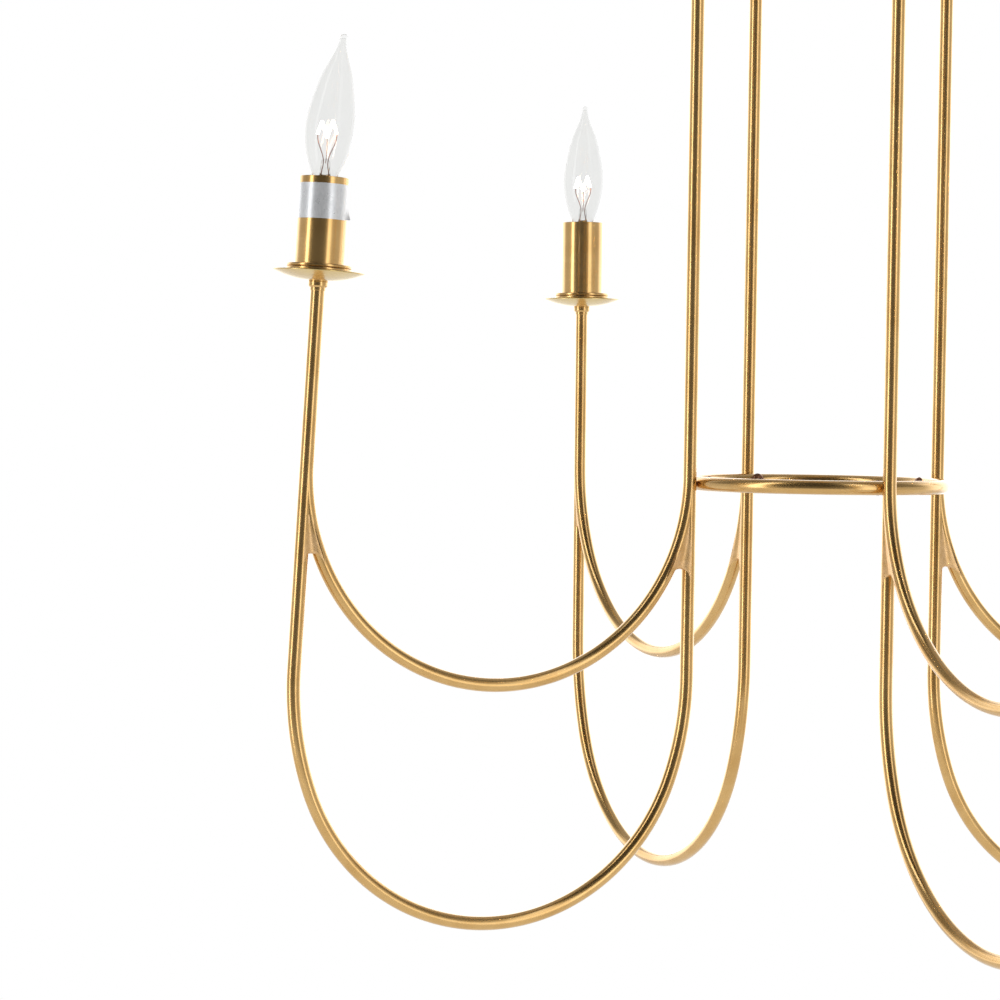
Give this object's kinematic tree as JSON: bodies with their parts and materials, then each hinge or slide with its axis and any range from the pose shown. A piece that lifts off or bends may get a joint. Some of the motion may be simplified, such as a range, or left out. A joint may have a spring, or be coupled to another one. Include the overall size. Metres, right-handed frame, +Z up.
{
  "type": "multi arm chandelier",
  "caption": "Hanging light with slender brass arms bent into double loops round a tie ring, each ending in a dish, a candle sleeve and a flame-shaped bulb, on a stem with a ceiling canopy.",
  "frame": {"origin": "middle of the ceiling face, which is also the centre of the crossbar's two box-screw slots", "axes": "+Z up into the ceiling, the arms along +X, +Y, -X and -Y"},
  "size_m": [0.7779, 0.7862, 0.9672],
  "materials": {
    "brushed_brass": "satin antique brass, lengthways brushed",
    "turned_brass": "satin antique brass, turned",
    "clear_glass": "clear, blown",
    "filament": "thin wire on a glass mount",
    "nickel": "nickel plated",
    "zinc_steel": "zinc plated",
    "dark_screw": "oil-darkened",
    "lead_sheath": "smooth sleeve",
    "connector_cap": "moulded",
    "socket_plastic": "moulded phenolic",
    "foil": "plain metallised film"
  },
  "bodies": {
    "ceiling_mount": {"crossbar": "zinc_steel", "pipe_nipple": "zinc_steel", "pipe_nut": "zinc_steel", "ground_screw": "zinc_steel", "swivel_cup": "turned_brass", "cup_pivot_screws": "zinc_steel", "supply_lead": "lead_sheath"},
    "gimbal": {"gimbal_ring": "turned_brass"},
    "fixture": {"head_pivot_screws": "zinc_steel", "stem_head": "turned_brass", "stem": "brushed_brass", "stem_nut": "zinc_steel", "stem_lead": "lead_sheath", "splice_connectors": "connector_cap", "hub_body": "turned_brass", "hub_cap": "turned_brass", "finial": "turned_brass", "tie_ring": "brushed_brass", "ring_screws": "dark_screw", "arm_wires": "lead_sheath", "candle_collars": "turned_brass", "dish_spacers": "turned_brass", "flange_discs": "turned_brass", "socket_nipples": "zinc_steel", "socket_nuts": "zinc_steel", "sockets": "socket_plastic", "socket_shells": "nickel", "socket_contacts": "nickel", "foil_label": "foil", "arm_tube_1": "brushed_brass", "lower_loop_1": "brushed_brass", "dish_1": "turned_brass", "sleeve_1": "turned_brass", "arm_tube_2": "brushed_brass", "lower_loop_2": "brushed_brass", "dish_2": "turned_brass", "sleeve_2": "turned_brass", "arm_tube_3": "brushed_brass", "lower_loop_3": "brushed_brass", "dish_3": "turned_brass", "sleeve_3": "turned_brass", "arm_tube_4": "brushed_brass", "lower_loop_4": "brushed_brass", "dish_4": "turned_brass", "sleeve_4": "turned_brass"},
    "canopy": {"canopy": "turned_brass"},
    "collar": {"collar_ring": "turned_brass"},
    "bulb_1": {"bulb_glass_1": "clear_glass", "bulb_cap_1": "nickel", "bulb_filament_1": "filament"},
    "bulb_2": {"bulb_glass_2": "clear_glass", "bulb_cap_2": "nickel", "bulb_filament_2": "filament"},
    "bulb_3": {"bulb_glass_3": "clear_glass", "bulb_cap_3": "nickel", "bulb_filament_3": "filament"},
    "bulb_4": {"bulb_glass_4": "clear_glass", "bulb_cap_4": "nickel", "bulb_filament_4": "filament"}
  },
  "joints": [
    {"name": "tilt_x", "type": "hinge", "parent": "ceiling_mount", "child": "gimbal", "pos_m": [0, 0, -0.03], "axis": [1, 0, 0], "range_deg": [-10, 10]},
    {"name": "tilt_y", "type": "hinge", "parent": "gimbal", "child": "fixture", "pos_m": [0, 0, -0.03], "axis": [0, 1, 0], "range_deg": [-10, 10]},
    {"name": "canopy_drop", "type": "slide", "parent": "ceiling_mount", "child": "canopy", "axis": [0, 0, -1], "range_m": [0, 0.02]},
    {"name": "collar_turn", "type": "hinge", "parent": "canopy", "child": "collar", "pos_m": [0, 0, -0.029], "axis": [0, 0, 1], "range_deg": [0, 1080]},
    {"name": "bulb_1_lift", "type": "slide", "parent": "fixture", "child": "bulb_1", "axis": [-0.0209, 0, 0.9998], "range_m": [0, 0.05]},
    {"name": "bulb_2_lift", "type": "slide", "parent": "fixture", "child": "bulb_2", "axis": [0, 0.0105, 0.9999], "range_m": [0, 0.05]},
    {"name": "bulb_3_lift", "type": "slide", "parent": "fixture", "child": "bulb_3", "axis": [0.0523, 0, 0.9986], "range_m": [0, 0.05]},
    {"name": "bulb_4_lift", "type": "slide", "parent": "fixture", "child": "bulb_4", "axis": [0, 0.0209, 0.9998], "range_m": [0, 0.05]}
  ]
}
